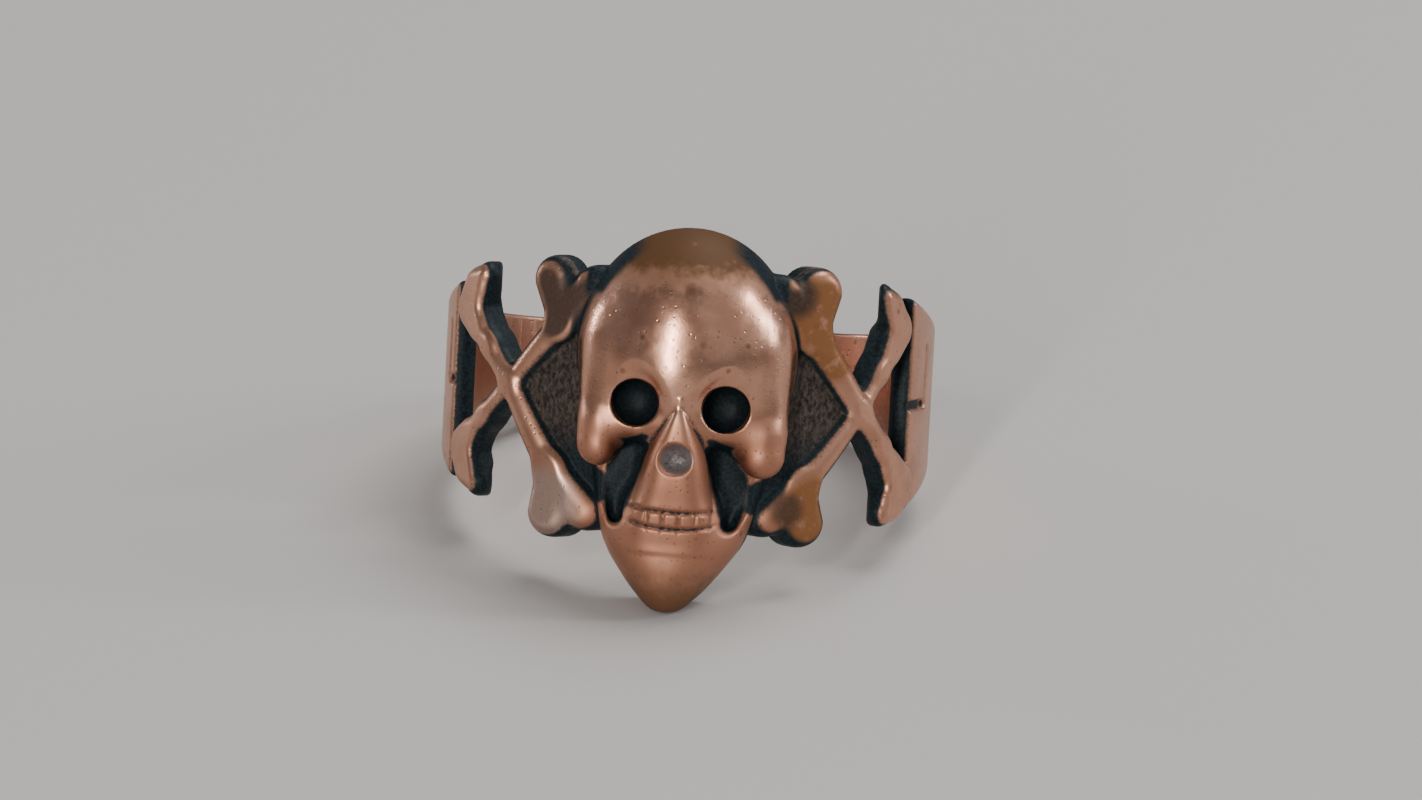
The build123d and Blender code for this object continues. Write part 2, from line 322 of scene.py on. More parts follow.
def plate_field(x, y, z):
    """The thin plate behind the skull, from crossing to crossing inside the bone ends."""
    radius = np.hypot(x, y)
    across, heights = zip(*reversed(PLATE_OUTLINE))
    edge = (np.abs(z) - np.interp(np.abs(x), across, heights)) * PLATE_SLANT
    field = common(edge, radius - PLATE_OUTER, 0.1)
    field = common(field, BORE - radius, 0.1)
    return np.maximum(field, y)


# The nose and muzzle at each height: (height, half width, front)
MUZZLE_ROWS = [
    (0.65, 0.08, 13.3),
    (0.4, 0.2, 13.55),
    (0.0, 0.42, 13.72),
    (-0.5, 0.7, 13.85),
    (-1.0, 0.94, 13.93),
    (-1.5, 1.18, 13.97),
    (-2.0, 1.36, 13.98),
    (-2.6, 1.5, 13.95),
    (-3.4, 1.6, 13.85),
    (-3.9, 1.74, 13.72),
    (-4.4, 2.0, 13.65),
    (-5.3, 2.2, 13.45),
    (-6.3, 2.05, 13.2),
]

# The jaw at each height: (height, half width, front)
JAW_ROWS = [
    (-1.0, 4.1, 11.0),
    (-2.4, 4.08, 11.3),
    (-3.1, 4.0, 11.6),
    (-4.0, 3.74, 12.3),
    (-4.8, 3.58, 12.9),
    (-5.95, 3.2, 13.25),
    (-7.05, 2.45, 13.2),
    (-8.1, 1.65, 12.85),
    (-8.6, 1.2, 12.5),
    (-8.9, 0.6, 12.0),
]

# Outline of a cheek's hollow: (start, end, start's half width, end's half width)
HOLLOW_OUTLINE = [
    ((2.5, -2.3), (2.58, -3.0), 1.0, 0.98),
    ((2.58, -3.0), (2.68, -4.0), 0.98, 0.64),
    ((2.68, -4.0), (2.5, -4.85), 0.6, 0.36),
]


def cranium_field(x, y, z):
    """The cranium over the hollows of the cheeks, and the same with only its brow cut."""
    radii = (SKULL_HALF_WIDTH, CRANIUM_HALF_DEPTH, CRANIUM_HALF_HEIGHT)
    egg_field = egg(x, y, z, (0, -SKULL_AXIS, CRANIUM_HEIGHT), radii)
    (from_x, from_z), (way_x, way_z) = BROW_LINE_FROM, BROW_LINE_WAY
    beyond = (way_x * (z - from_z) - way_z * (x - from_x)) / BROW_LINE_LENGTH
    brow = common(egg(x, y, z, *BROW_EGG), beyond, 1.0)
    browed = without(egg_field, brow, 0.25)
    cranium = without(browed, egg(x, y, z, *ARCH_EGG), 0.3)
    return common(cranium, -(z - CRANIUM_BOTTOM), 0.3), browed


def flank_outline(x, y, z, nose, temple):
    """The outline of what is dark beside the nose, clear of the nose's front and the temple."""
    flank = np.minimum(bar(x, z, *NOSE_FLANK), bar(x, z, *LOBE_FLANK))
    flank = joined(flank, bar(x, z, *JAW_FLANK), 0.1)
    flank = np.maximum(flank, -(y + FLANK_FRONT))
    nose_front = np.maximum(nose, y + NOSE_FRONT)
    return np.maximum(flank, 0.06 - np.minimum(nose_front, temple))


def hollowed(jaw, x, y, z):
    """The jaw with the hollow of its cheek cut down to the plate."""
    hollow = None
    for start, end, start_width, end_width in HOLLOW_OUTLINE:
        part = bar(x, z, start, end, start_width, end_width)
        hollow = part if hollow is None else np.minimum(hollow, part)
    hollow = common(hollow, y + PLATE_OUTER + 0.15, 0.5)
    return without(jaw, hollow, 0.3)


def skull_field(x, y, z):
    """The skull without its eyes and teeth, and the same before it had any hollow."""
    cranium, browed = cranium_field(x, y, z)
    temple = rod(x, y, z, *TEMPLE_ROD)
    head = joined(cranium, temple, 0.6)
    head = joined(head, rod(x, y, z, *CHEEK_ROD), 0.45)
    jaw = lofted(x, y, z, JAW_ROWS, JAW_BACK, JAW_POWER)
    jaw = joined(jaw, ball(x, y, z, *CHIN_BALL), 0.3)
    muzzle = lofted(x, y, z, MUZZLE_ROWS, MUZZLE_BACK, MUZZLE_POWER)
    uncut = np.minimum(np.maximum(browed, -(z - UNCUT_BOTTOM)), np.minimum(temple, jaw))
    uncut = np.minimum(uncut, flank_outline(x, y, z, muzzle, temple))
    head = joined(head, muzzle, np.interp(z, (-1.2, 0.0), (0.14, 0.08)))
    return joined(head, hollowed(jaw, x, y, z), 0.15), uncut


def carve_face(head, x, y, z):
    """Cuts the eyes, the nose's dimple and the teeth into the skull."""
    eye = np.hypot(np.abs(x) - EYE_OFFSET, z - EYE_LEVEL) - EYE_RADIUS
    eye = common(eye, y + SKULL_AXIS + SKULL_HALF_WIDTH - EYE_DEPTH, EYE_FLOOR_ROUND)
    head = without(head, eye, 0.12)
    head = without(head, egg(x, y, z, *DIMPLE_EGG), 0.06)
    skin = np.maximum(head, y + SKIN_FRONT)
    fading = np.maximum(np.abs(x) - TOOTH_ROW_HALF_WIDTH, 0) * 0.3
    for height, bend, width in TOOTH_LINES:
        line = np.hypot(z - height - bend * x**2, skin) - width + fading
        head = without(head, line, 0.1)
    nick = np.abs((x / NICK_PITCH) % 1.0 - 0.5) * NICK_PITCH
    off_row = np.abs(z - TOOTH_ROW_HEIGHT - TOOTH_ROW_BEND * x**2)
    off_row = np.maximum(off_row, TOOTH_ROW_HALF_HEIGHT) - TOOTH_ROW_HALF_HEIGHT
    nick = np.hypot(nick, skin) - NICK_WIDTH + fading + 0.35 * off_row
    return without(head, nick, 0.08)


def skull_places(x, z):
    """Places in the turned skull: across it, beside its middle for each temple, and up it."""
    above = z - EYE_LEVEL
    across = x * math.cos(SKULL_TURN) - above * math.sin(SKULL_TURN)
    height = above * math.cos(SKULL_TURN) + x * math.sin(SKULL_TURN) + EYE_LEVEL
    left = np.interp(height, *LEFT_TEMPLE_SHIFT)
    right = np.interp(height, *RIGHT_TEMPLE_SHIFT)
    beside = np.abs(across)
    beside = beside + np.where(across < 0, left, right) * np.clip(beside - TEMPLE_FROM, 0, 1)
    return across, beside, height


def whole_front(x, y, z):
    """The front before bones and plate were cut free of it, which ends at the shoulders."""
    rise = np.interp(y, (-6.0, -4.5), (0.2, 0.06))
    fading = np.maximum(y + 3.3, 0) * 1.2
    return np.maximum(np.hypot(x, y) - BAND_OUTER - rise, np.abs(z) - 6.4) + fading


def casting_field():
    """The casting's field, the same before anything was cut away, and their first corner."""
    low, high = np.array(GRID_LOW), np.array(GRID_HIGH)
    counts = np.ceil((high - low) / CELL).astype(int)
    xs, ys, zs = (low[k] + CELL * np.arange(counts[k]) for k in range(3))
    field = np.full(counts, FAR, np.float32)
    uncut = np.full(counts, FAR, np.float32)

    def region(x_range, y_range, z_range):
        """The samples in a box: which they are, and where they lie."""
        picks = []
        for values, (start, end) in zip((xs, ys, zs), (x_range, y_range, z_range)):
            first, last = np.searchsorted(values, (start, end))
            picks.append(slice(first, last))
        x = xs[picks[0]].astype(np.float32)[:, None, None]
        y = ys[picks[1]].astype(np.float32)[None, :, None]
        z = zs[picks[2]].astype(np.float32)[None, None, :]
        return tuple(picks), x, y, z

    where, x, y, z = region(*BAND_BOX)
    field[where] = np.minimum(field[where], band_field(x, y, z))

    where, x, y, z = region(*FRONT_BOX)
    uncut[where] = whole_front(x, y, z)

    for side, over, under in ((-1, LEFT_OVER, LEFT_UNDER), (1, RIGHT_OVER, RIGHT_UNDER)):
        reach = sorted(side * end for end in BONE_REACH)
        where, x, y, z = region(reach, *BONE_BOX)
        bones = bone_field(side * x, y, z, over, BONE_OUTER)
        bones = joined(bones, bone_field(side * x, y, z, under, BONE_OUTER - BONE_STEP), 0.16)
        field[where] = joined(field[where], bones, MEETING)

    where, x, y, z = region(*PLATE_BOX)
    field[where] = joined(field[where], plate_field(x, y, z), MEETING)

    where, x, y, z = region(*SKULL_BOX)
    across, beside, height = skull_places(x, z)
    head, whole_head = skull_field(beside, y, height)
    uncut[where] = np.minimum(uncut[where], whole_head)
    head = carve_face(head, across, y, height)
    head = common(head, SKULL_BACK - np.hypot(x, y), 0.2)
    table = y * math.sin(LEAN) - z * math.cos(LEAN) - REST_SHIFT[2]
    head = common(head, table, 0.25)
    field[where] = joined(field[where], head.astype(np.float32), MEETING)
    return field, uncut, low


def surface_net(field, corner):
    """The surface where the field is nought, as corner places and four-cornered faces."""
    inside = field < 0
    shape = np.array(field.shape)
    strides = np.array([shape[1] * shape[2], shape[2], 1])
    flat = field.reshape(-1)
    rings, spots = [], []
    for axis in range(3):
        near, far = [slice(None)] * 3, [slice(None)] * 3
        near[axis], far[axis] = slice(0, -1), slice(1, None)
        at = np.argwhere(inside[tuple(near)] != inside[tuple(far)])
        ids = at @ strides
        a, b = flat[ids], flat[ids + strides[axis]]
        place = at.astype(np.float64)
        place[:, axis] += a / (a - b)
        first, second = (strides[k] for k in range(3) if k != axis)
        ring = np.stack([ids, ids - first, ids - first - second, ids - second], axis=1)
        flip = (a >= 0) != (axis == 1)
        ring[flip] = ring[flip][:, ::-1]
        rings.append(ring)
        spots.append(np.repeat(place, 4, axis=0))
    rings, spots = np.concatenate(rings), np.concatenate(spots)
    index = np.unique(rings.reshape(-1), return_inverse=True)[1].reshape(-1)
    count = np.bincount(index)
    places = np.stack([np.bincount(index, spots[:, k]) / count for k in range(3)], axis=1)
    return places * CELL + corner, index.reshape(-1, 4)


def sampled(field, corner, places, cell=CELL):
    """The field's value at each place, blended from the eight samples round it."""
    at = (places - corner) / cell
    at = np.clip(at, 0, np.array(field.shape) - 1.001)
    low = np.floor(at).astype(int)
    share = at - low
    value = np.zeros(len(places))
    for dx in (0, 1):
        for dy in (0, 1):
            for dz in (0, 1):
                weight = np.abs(1 - dx - share[:, 0]) * np.abs(1 - dy - share[:, 1])
                weight *= np.abs(1 - dz - share[:, 2])
                value += weight * field[low[:, 0] + dx, low[:, 1] + dy, low[:, 2] + dz]
    return value


def slopes(field, corner, places):
    """The direction in which the field grows fastest at each place, at unit length."""
    steps = np.eye(3) * CELL * 0.7
    rise = [sampled(field, corner, places + s) - sampled(field, corner, places - s) for s in steps]
    rise = np.stack(rise, axis=1)
    return rise / np.maximum(np.linalg.norm(rise, axis=1, keepdims=True), 1e-9)


def blurred(values, reach):
    """Values spread over boxes of that many cells each way, twice over each axis."""
    for axis in (0, 1, 2, 0, 1, 2):
        pad = [(0, 0)] * 3
        pad[axis] = (reach + 1, reach)
        total = np.cumsum(np.pad(values, pad), axis=axis, dtype=np.float32)
        near, far = [slice(None)] * 3, [slice(None)] * 3
        near[axis], far[axis] = slice(0, -2 * reach - 1), slice(2 * reach + 1, None)
        values = (total[tuple(far)] - total[tuple(near)]) / (2 * reach + 1)
    return values


def build_mesh(name, places, faces):
    mesh = bpy.data.meshes.new(name)
    mesh.from_pydata(places, [], faces.tolist())
    mesh.update()
    return mesh


def thinned(mesh, most):
    """The mesh with no more than that many triangles, fewest where it is flattest."""
    stand_in = bpy.data.objects.new("stand_in", mesh)
    bpy.context.scene.collection.objects.link(stand_in)
    triangles = sum(len(p.vertices) - 2 for p in mesh.polygons)
    modifier = stand_in.modifiers.new("thin", "DECIMATE")
    modifier.ratio = min(1.0, most / triangles)
    done = stand_in.evaluated_get(bpy.context.evaluated_depsgraph_get())
    lean = bpy.data.meshes.new_from_object(done)
    bpy.data.objects.remove(stand_in)
    bpy.data.meshes.remove(mesh)
    return lean


def keep_values(mesh, name, values):
    """Writes one value for each corner place of the mesh, for its material to read."""
    made = mesh.attributes.new(name, "FLOAT", "POINT")
    made.data.foreach_set("value", np.clip(values, 0, 1).astype(np.float32))


def laid_down(places, shift=(0, 0, 0)):
    """Places or directions turned from the ring's own frame to how it lies on the table."""
    x, y, z = places.T
    turned = [x, y * math.cos(LEAN) + z * math.sin(LEAN), z * math.cos(LEAN) - y * math.sin(LEAN)]
    return np.stack(turned, axis=1) + shift


def settled(field, corner, places):
    """Places moved onto the field's surface by no more than a cell, and the directions there."""
    way = slopes(field, corner, places)
    depth = np.clip(sampled(field, corner, places), -CELL, CELL)
    places = places - way * depth[:, None]
    return places, slopes(field, corner, places)


def keep_finish(mesh, field, uncut, corner, places, normals):
    """Keeps on the mesh how creased, ridged, sheltered and sunk it is, and where its bore is."""
    filled = np.clip(0.5 - field / CELL, 0, 1)
    near = sampled(blurred(filled, 2), corner, places)
    wide = sampled(blurred(filled[::2, ::2, ::2], 5), corner, places, 2 * CELL)
    keep_values(mesh, "crease", (near - 0.5) * 3.0)
    keep_values(mesh, "ridge", (0.5 - near) * 3.0)
    keep_values(mesh, "shelter", (wide - 0.4) * 2.0)
    facing_in = -(normals[:, 0] * places[:, 0] + normals[:, 1] * places[:, 1]) / BORE
    bore = (np.hypot(places[:, 0], places[:, 1]) < BORE + 0.1) * facing_in
    keep_values(mesh, "bore", bore)
    sunk = 0.02 - sampled(uncut, corner, places)
    keep_values(mesh, "depth", sunk * (1 - np.clip(bore, 0, 1)))


def sculpt_casting():
    """The casting as one mesh, lying on the table, with the values its finish reads."""
    name = "skull_ring_casting"
    field, uncut, corner = casting_field()
    places, faces = surface_net(field, corner)
    mesh = thinned(build_mesh(name, places, faces), MOST_TRIANGLES)
    mesh.name = name
    flat = np.empty(len(mesh.vertices) * 3)
    mesh.vertices.foreach_get("co", flat)
    places, normals = settled(field, corner, flat.reshape(-1, 3))
    keep_finish(mesh, field, uncut, corner, places, normals)
    mesh.vertices.foreach_set("co", (laid_down(places, REST_SHIFT) * MM).reshape(-1))
    mesh.update()
    mesh.polygons.foreach_set("use_smooth", np.ones(len(mesh.polygons), bool))
    mesh.normals_split_custom_set_from_vertices(laid_down(normals))
    ring = bpy.data.objects.new(name, mesh)
    bpy.context.scene.collection.objects.link(ring)
    return ring


# ---- Finish ----


def put(tree, kind, inputs=None, **settings):
    """Adds a node with its settings, and fills or links the inputs that are named or numbered."""
    node = tree.nodes.new(kind)
    for key, value in settings.items():
        setattr(node, key, value)
    for name, value in (inputs or {}).items():
        if isinstance(value, bpy.types.NodeSocket):
            tree.links.new(value, node.inputs[name])
        else:
            node.inputs[name].default_value = value
    return node


def reckoned(tree, operation, *values):
    """A sum, product or other reckoning over any number of values, from left to right."""
    total = values[0]
    for value in values[1:]:
        total = put(tree, "ShaderNodeMath", {0: total, 1: value}, operation=operation).outputs[0]
    return total


def product(tree, *values):
    return reckoned(tree, "MULTIPLY", *values)


def greatest(tree, *values):
    return reckoned(tree, "MAXIMUM", *values)


def graded(tree, value, low, high):
    """A soft step from 0 to 1 as the value goes from low to high."""
    inputs = {"Value": value, "From Min": low, "From Max": high}
    return put(tree, "ShaderNodeMapRange", inputs, interpolation_type="SMOOTHSTEP").outputs[0]


def blended(tree, share, first, second):
    """A colour between two colours."""
    return put(tree, "ShaderNodeMix", {0: share, 6: first, 7: second}, data_type="RGBA").outputs[2]


def between(tree, share, first, second):
    """A value between two values."""
    return put(tree, "ShaderNodeMix", {0: share, 2: first, 3: second}, data_type="FLOAT").outputs[0]


def noise(tree, place, scale, detail=3.0, roughness=0.55):
    inputs = {"Vector": place, "Scale": scale, "Detail": detail, "Roughness": roughness}
    return put(tree, "ShaderNodeTexNoise", inputs).outputs[0]


def stretched(tree, place, scale):
    return put(tree, "ShaderNodeMapping", {"Vector": place, "Scale": scale}).outputs[0]


def kept(tree, name):
    """A value that the sculpt left on the mesh."""
    return put(tree, "ShaderNodeAttribute", attribute_name=name).outputs["Fac"]


def ring_place(tree):
    """Where a point lies in the ring's own frame, in millimetres."""
    at = put(tree, "ShaderNodeTexCoord").outputs["Object"]
    shift = [-MM * value for value in REST_SHIFT]
    at = put(tree, "ShaderNodeVectorMath", {0: at, 1: shift}, operation="ADD").outputs[0]
    inputs = {"Vector": at, "Rotation": (LEAN, 0, 0), "Scale": (1 / MM, 1 / MM, 1 / MM)}
    return put(tree, "ShaderNodeMapping", inputs).outputs[0]


def near_to(tree, place, centre, inner, outer):
    """A mask that is full within the inner distance of a place and gone beyond the outer one."""
    inputs = {0: place, 1: centre}
    gap = put(tree, "ShaderNodeVectorMath", inputs, operation="DISTANCE").outputs["Value"]
    return graded(tree, gap, outer, inner)


def spots(tree, place, scale, size, share):
    """Scattered round spots, full at their middles; the share says how many of them there are."""
    inputs = {"Vector": place, "Scale": scale, "Randomness": 1.0}
    cells = put(tree, "ShaderNodeTexVoronoi", inputs)
    round_spots = graded(tree, cells.outputs["Distance"], size, size * 0.4)
    chosen = put(tree, "ShaderNodeSeparateColor", {0: cells.outputs["Color"]}).outputs[0]
    return product(tree, round_spots, graded(tree, chosen, share, share - 0.05))


# Colours of the copper where it is polished, deeper, stained and tarnished. The deeper colour also
# paints shade on the lower face, and the brown partly paints shade under the chin.
COPPER = (0.58, 0.31, 0.215, 1)
COPPER_DEEP = (0.39, 0.18, 0.112, 1)
BORE_COPPER = (0.58, 0.32, 0.23, 1)
BROWN = (0.088, 0.042, 0.018, 1)
AMBER = (0.185, 0.078, 0.024, 1)
GREY_PINK = (0.44, 0.34, 0.30, 1)
STEEL_GREY = (0.19, 0.19, 0.20, 1)
DULL = (0.034, 0.028, 0.024, 1)
PLATE_BROWN = (0.084, 0.064, 0.052, 1)
BLACK = (0.006, 0.0065, 0.007, 1)
TEAL = (0.010, 0.022, 0.028, 1)
RUST = (0.20, 0.065, 0.04, 1)


# Places of the finish, in the ring's own frame. The amber bone ends and the rust specks are
# (middle, reach); the others are (middle, distance of full strength, distance of none).
AMBER_PLACES = (((5.8, -9.8, 4.2), 2.1), ((6.6, -9.3, 2.5), 1.6), ((6.1, -9.4, -4.7), 2.4))
RUST_SPECKS = (
    ((0.15, -13.2, 5.2), 0.34),
    ((0.85, -13.7, 2.9), 0.26),
    ((0.8, -13.6, 2.1), 0.22),
    ((-2.1, -12.5, 5.1), 0.2),
)
SKULL_PLACE = ((0, -12.6, 0), 9.0, 9.4)
GREY_KNOB = ((-5.6, -9.3, -4.9), 1.3, 2.2)
DULL_UPPER_LEFT = ((-5.4, -9.3, 4.4), 1.7, 2.5)
DULL_UPPER_RIGHT = ((4.6, -9.9, 5.0), 0.7, 1.4)
DULL_LOWER_RIGHT = ((4.7, -9.9, -4.4), 0.5, 1.1)
DIMPLE_PLACE = ((0, -13.6, -2.05), 0.62, 0.8)


def rest_of(tree, mask):
    """What a mask leaves out."""
    return reckoned(tree, "SUBTRACT", 1.0, mask)


def beside_skull(tree, beside):
    """What lies further out than the skull's sides."""
    return graded(tree, beside, 4.7, 5.0)


def brown_mask(tree, place, beside, z, middling):
    """The crown's stain, and a fainter brown under the chin that is partly tarnish and partly
    painted shade of the shaded table it reflects; both with ragged edges.
    """
    on_skull = near_to(tree, place, *SKULL_PLACE)
    on_skull = product(tree, on_skull, rest_of(tree, beside_skull(tree, beside)))
    uneven = product(tree, reckoned(tree, "SUBTRACT", middling, 0.5), 1.5)
    ragged = reckoned(tree, "ADD", z, uneven)
    crown = product(tree, on_skull, graded(tree, ragged, 4.8, 6.4))
    # Painted shade, partly real tarnish: the brown under the chin stands in for the shaded table
    # that the chin reflects.
    chin = product(tree, on_skull, graded(tree, ragged, -6.4, -8.4))
    return greatest(tree, crown, product(tree, chin, 0.85))


def amber_mask(tree, place, middling):
    """The amber ends of the right side's bones, but nothing in the bore behind them."""
    places = (near_to(tree, place, at, reach * 0.6, reach) for at, reach in AMBER_PLACES)
    uneven = graded(tree, middling, 0.18, 0.47)
    return product(tree, greatest(tree, *places), uneven, rest_of(tree, kept(tree, "bore")))


def dull_mask(tree, place):
    """Three bone ends that are tarnished inside their worn ridges."""
    lower_right = product(tree, near_to(tree, place, *DULL_LOWER_RIGHT), 0.8)
    upper_left = near_to(tree, place, *DULL_UPPER_LEFT)
    upper_right = near_to(tree, place, *DULL_UPPER_RIGHT)
    dull = greatest(tree, upper_left, upper_right, lower_right)
    inside_ridges = graded(tree, kept(tree, "ridge"), 0.3, 0.08)
    uneven = graded(tree, noise(tree, place, 6.0, 3.0, 0.65), 0.05, 0.3)
    return product(tree, dull, inside_ridges, uneven)


def stained_and_shaded_copper(tree, place, beside, z):
    """The metal's colour, roughness and stain before the recesses are blackened, with painted shade
    on the lower face and under the chin.
    """
    middling = noise(tree, place, 1.7, 4.0)
    deeper = product(tree, graded(tree, noise(tree, place, 0.55), 0.38, 0.66), 0.5)
    colour = blended(tree, deeper, COPPER, COPPER_DEEP)
    lower = graded(tree, z, 0.6, -1.4)
    # Painted shade: the skull's lower face is painted a deeper copper, standing in for the shaded
    # table near the ring that it reflects.
    lower_face_shade = product(tree, lower, graded(tree, beside, 5.0, 4.4), 0.85)
    colour = blended(tree, lower_face_shade, colour, COPPER_DEEP)
    colour = blended(tree, kept(tree, "bore"), colour, BORE_COPPER)
    rough = between(tree, graded(tree, middling, 0.3, 0.7), 0.21, 0.28)
    rough = between(tree, lower, rough, 0.54)

    away = beside_skull(tree, beside)
    colour = blended(tree, product(tree, away, 0.2), colour, COPPER_DEEP)
    rough = between(tree, away, rough, 0.36)

    brown = brown_mask(tree, place, beside, z, middling)
    colour = blended(tree, brown, colour, BROWN)
    rough = between(tree, brown, rough, 0.56)

    amber = amber_mask(tree, place, middling)
    colour = blended(tree, product(tree, amber, 0.9), colour, AMBER)
    rough = between(tree, amber, rough, 0.42)

    grey = product(tree, near_to(tree, place, *GREY_KNOB), 0.7)
    colour = blended(tree, grey, colour, GREY_PINK)
    dull = dull_mask(tree, place)
    colour = blended(tree, product(tree, dull, 0.92), colour, DULL)
    rough = between(tree, dull, rough, 0.45)

    in_dimple = product(tree, near_to(tree, place, *DIMPLE_PLACE), 0.85)
    colour = blended(tree, in_dimple, colour, STEEL_GREY)
    specks = (near_to(tree, place, at, 0.0, reach) for at, reach in RUST_SPECKS)
    rust = greatest(tree, spots(tree, place, 1.1, 0.2, 0.3), *specks)
    colour = blended(tree, product(tree, rust, 0.6), colour, RUST)
    # Stains, with the painted shade under the chin among them.
    stain_and_shade = greatest(tree, brown, product(tree, amber, 0.6), product(tree, dull, 0.6))
    return colour, rough, stain_and_shade


def rim_mask(tree, beside, y, z):
    """The black sides of the crown, where it meets the upper bone ends."""
    return product(
        tree,
        graded(tree, y, -11.7, -11.1),
        graded(tree, beside, 1.5, 2.6),
        graded(tree, z, 4.3, 4.9),
        graded(tree, beside, 4.6, 4.3),
    )


def brow_mask(tree, beside, y, z):
    """The brow and the forehead, whose soft hollows stay bright."""
    return product(
        tree,
        graded(tree, z, -0.4, 0.2),
        graded(tree, beside, 4.0, 3.6),
        graded(tree, y, -11.4, -12.0),
    )


def open_plate_mask(tree, place, beside, y, z):
    """The brown middle of the plate, away from its dark corners and lower end."""
    flat = put(tree, "ShaderNodeVectorMath", {0: place, 1: (1, 1, 0)}, operation="MULTIPLY")
    radius = put(tree, "ShaderNodeVectorMath", {0: flat.outputs[0]}, operation="LENGTH")
    radius = radius.outputs["Value"]
    return product(
        tree,
        graded(tree, radius, 10.92, 10.8),
        graded(tree, radius, 10.5, 10.65),
        graded(tree, y, -7.4, -8.0),
        graded(tree, beside, 3.9, 4.3),
        graded(tree, kept(tree, "shelter"), 0.55, 0.35),
        graded(tree, z, -3.0, -0.6),
    )


def black_mask(tree, beside, y, z, ragged):
    """All that is black: what was cut deep, and the creases and corners that nothing wears."""
    sunk = reckoned(tree, "ADD", kept(tree, "depth"), product(tree, ragged, 0.3))
    sunk = graded(tree, sunk, 0.08, 0.26)
    creased = graded(tree, reckoned(tree, "ADD", kept(tree, "crease"), ragged), 0.04, 0.4)
    hidden = graded(tree, reckoned(tree, "ADD", kept(tree, "shelter"), ragged), 0.42, 0.8)
    unworn = graded(tree, kept(tree, "ridge"), 0.75, 0.35)
    filled = product(tree, greatest(tree, creased, hidden), unworn)
    filled = product(tree, filled, rest_of(tree, brow_mask(tree, beside, y, z)))
    return greatest(tree, sunk, filled, rim_mask(tree, beside, y, z))


def patina_and_eye_shade(tree, place, parts, fine, streaks, ragged):
    """The black's colour: teal in places, brown on the open plate, and pushed darker in the eye
    pits as painted shade of their depth.
    """
    beside, y, z = parts
    patina = blended(tree, graded(tree, fine, 0.35, 0.65), BLACK, TEAL)
    streaked = graded(tree, reckoned(tree, "ADD", streaks, ragged), 0.2, 0.85)
    plate = blended(tree, streaked, BLACK, PLATE_BROWN)
    patina = blended(tree, open_plate_mask(tree, place, beside, y, z), patina, plate)
    # Painted shade: the deep eye pits are pushed further towards black than the patina elsewhere.
    eye_pit_shade = (
        near_to(tree, place, (side * EYE_OFFSET, -12.4, EYE_LEVEL + side * 0.06), 1.3, 1.6)
        for side in (-1, 1)
    )
    return blended(tree, product(tree, greatest(tree, *eye_pit_shade), 0.35), patina, BLACK)


def copper_material():
    """Copper, polished where hands touch it, stained on top and blackened in every recess."""
    material = bpy.data.materials.new("antique_copper")
    material.use_nodes = True
    tree = material.node_tree
    place = ring_place(tree)
    x, y, z = put(tree, "ShaderNodeSeparateXYZ", {0: place}).outputs
    beside = reckoned(tree, "ABSOLUTE", x, 0)
    colour, rough, stain_and_shade = stained_and_shaded_copper(tree, place, beside, z)

    fine = noise(tree, place, 8.0, 3.0, 0.65)
    streaks = noise(tree, stretched(tree, place, (6.0, 6.0, 3.5)), 1.0)
    ragged = product(tree, reckoned(tree, "SUBTRACT", fine, 0.5), 0.5)
    small_pits = spots(tree, place, 4.2, 0.3, 0.35)
    black = black_mask(tree, beside, y, z, ragged)
    # The patina's colour, with painted shade in the eye pits.
    patina = patina_and_eye_shade(tree, place, (beside, y, z), fine, streaks, ragged)

    bare = rest_of(tree, stain_and_shade)
    colour = blended(tree, product(tree, small_pits, bare, 0.4), colour, DULL)
    worn = product(tree, graded(tree, fine, 0.45, 0.75), bare, 0.3)
    colour = blended(tree, worn, colour, COPPER_DEEP)
    colour = blended(tree, black, colour, patina)
    rough = between(tree, black, rough, 0.5)
    rough = between(tree, product(tree, kept(tree, "ridge"), 0.5), rough, 0.26)

    height = reckoned(tree, "SUBTRACT", product(tree, fine, 0.5), small_pits)
    height = reckoned(tree, "ADD", height, product(tree, black, streaks, 0.8))
    bump = put(tree, "ShaderNodeBump", {"Height": height, "Strength": 0.35, "Distance": 0.02 * MM})
    metal = between(tree, product(tree, stain_and_shade, 0.9), 1.0, 0.0)
    shader = tree.nodes["Principled BSDF"]
    shader.inputs["Specular IOR Level"].default_value = 0.12
    tree.links.new(colour, shader.inputs["Base Color"])
    tree.links.new(rough, shader.inputs["Roughness"])
    tree.links.new(between(tree, black, metal, 0.05), shader.inputs["Metallic"])
    tree.links.new(bump.outputs["Normal"], shader.inputs["Normal"])
    return material


# ---- Table, light and camera ----


# The panels of light: name, angle round the ring and angle above the table in degrees,
# distance and size in metres, power in watts, and colour. They stand where the photograph's
# highlights show windows, with the room's own light.
LIGHTS = [
    ("front_window", -17.0, 24.0, 0.6, (0.04, 0.32), 2.3, (1.0, 0.96, 0.91)),
    ("doorway", -15.0, 7.0, 0.6, (0.06, 0.06), 0.3, (1.0, 0.98, 0.96)),
    ("right_window", 95.0, 24.0, 0.6, (0.08, 0.3), 1.3, (0.98, 0.98, 1.0)),
    ("left_window", -112.0, 6.0, 0.6, (0.03, 0.18), 0.6, (0.94, 0.97, 1.0)),
    ("pale_wall", 52.0, 36.0, 0.6, (0.6, 0.5), 0.35, (1.0, 0.98, 0.96)),
    ("ceiling", 142.0, 64.0, 0.9, (0.6, 0.45), 6.6, (1.0, 1.0, 1.0)),
]
ROOM_COLOUR = (0.75, 0.77, 0.8, 1)
ROOM_STRENGTH = 0.33
TABLE_COLOUR = (0.44, 0.42, 0.405, 1)

